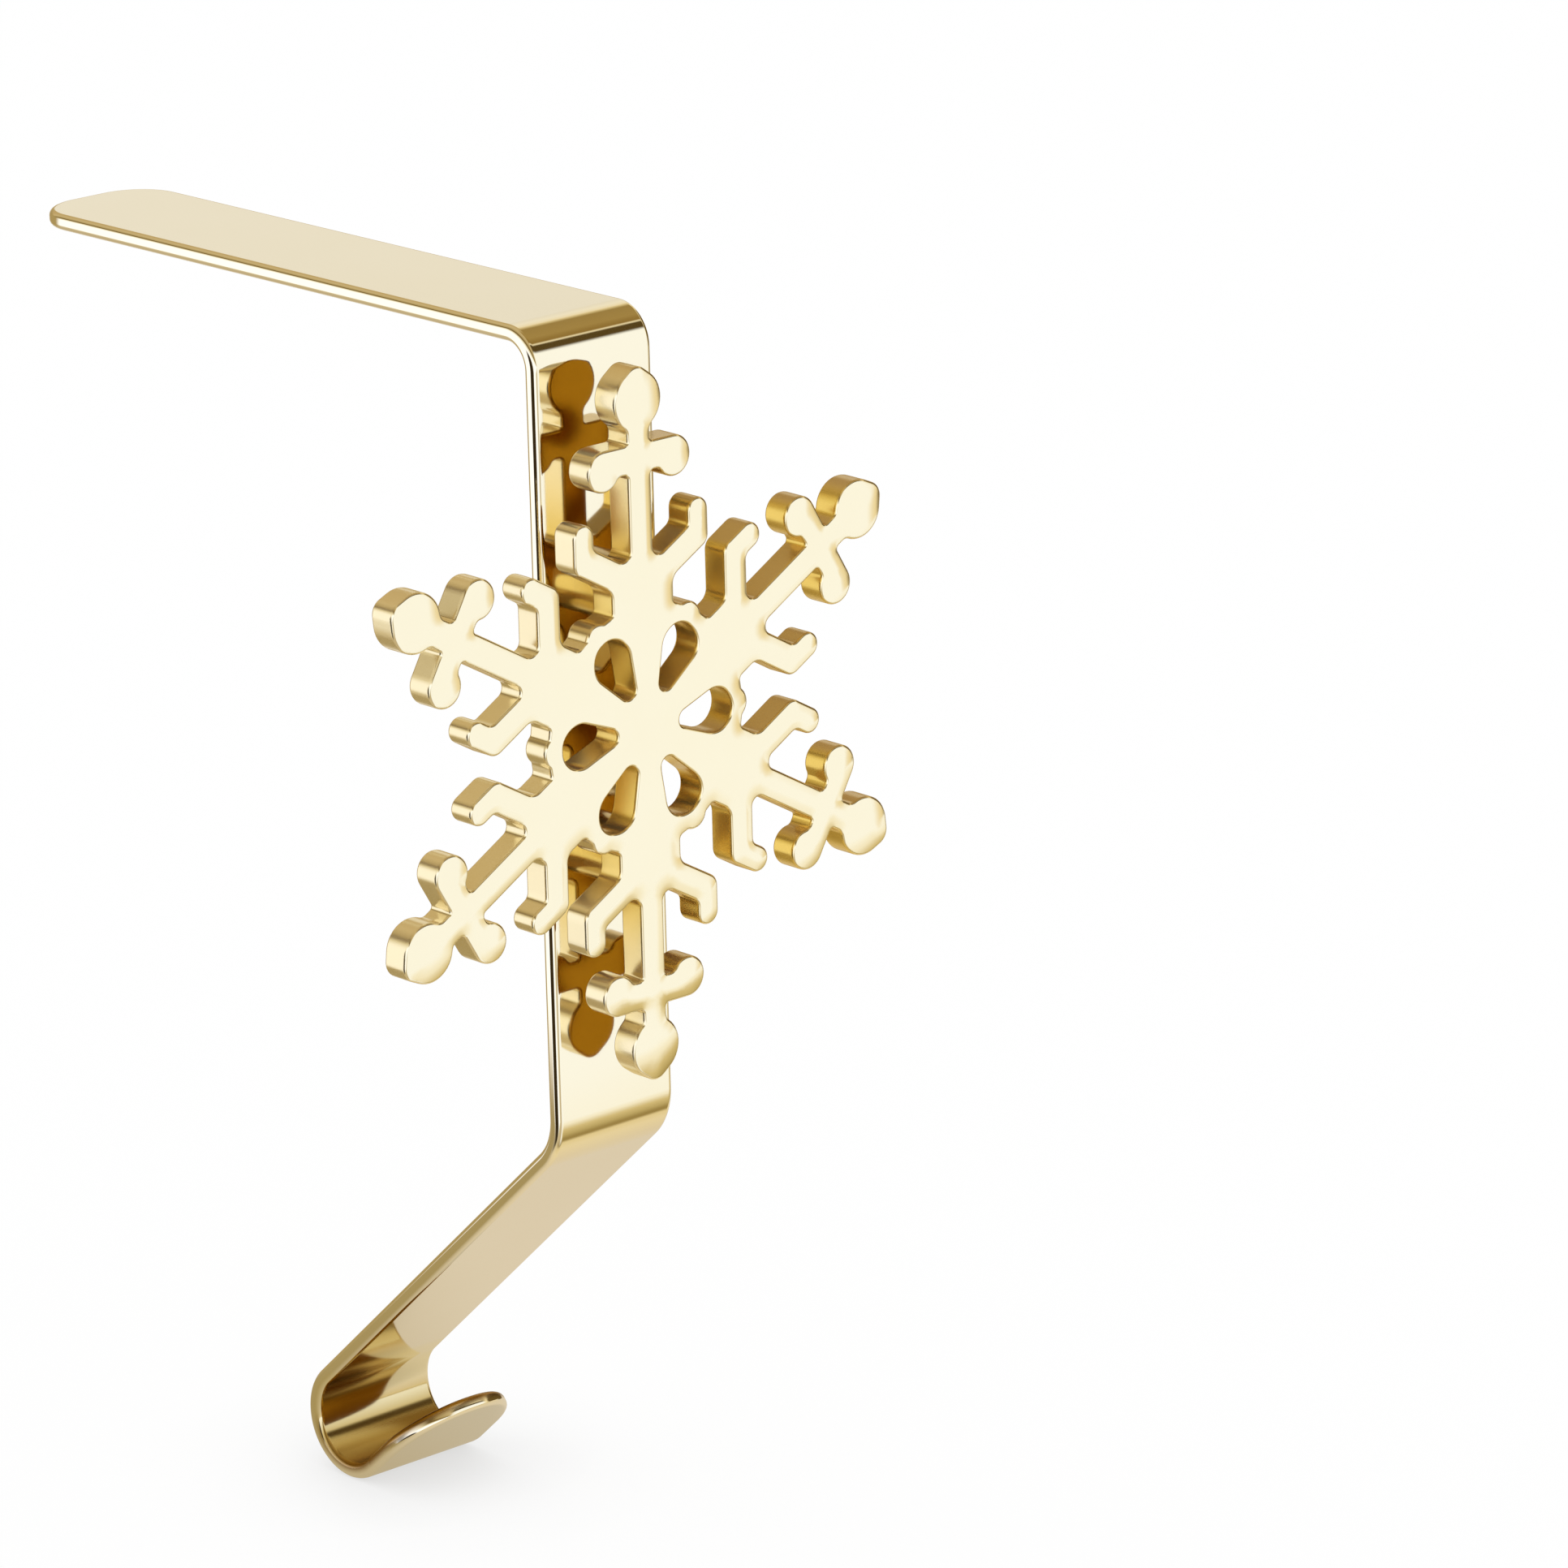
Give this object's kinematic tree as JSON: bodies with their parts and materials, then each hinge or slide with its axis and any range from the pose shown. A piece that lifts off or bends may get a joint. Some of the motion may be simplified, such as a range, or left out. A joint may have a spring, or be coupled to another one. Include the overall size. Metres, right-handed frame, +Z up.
{
  "type": "mantel stocking holder",
  "caption": "Gold-plated bent steel strip that sits on a mantel shelf and hangs over its front edge, with a hook below for a stocking and a cast snowflake ornament screwed to the front.",
  "frame": {"origin": "middle of the flat seat, on the strip's underside, where it rests on the mantel shelf", "axes": "+Z up, X across the strip, -Y to the front, where the snowflake is"},
  "size_m": [0.0748, 0.1024, 0.1516],
  "materials": {
    "strip_gold": "polished pale gold plating on steel",
    "flake_gold": "polished pale gold plating on a zinc casting, with satin side walls",
    "screw_steel": "plain zinc-plated steel"
  },
  "bodies": {
    "root": {"hook_strip": "strip_gold", "snowflake": "flake_gold", "fixing_screws": "screw_steel"}
  },
  "joints": []
}
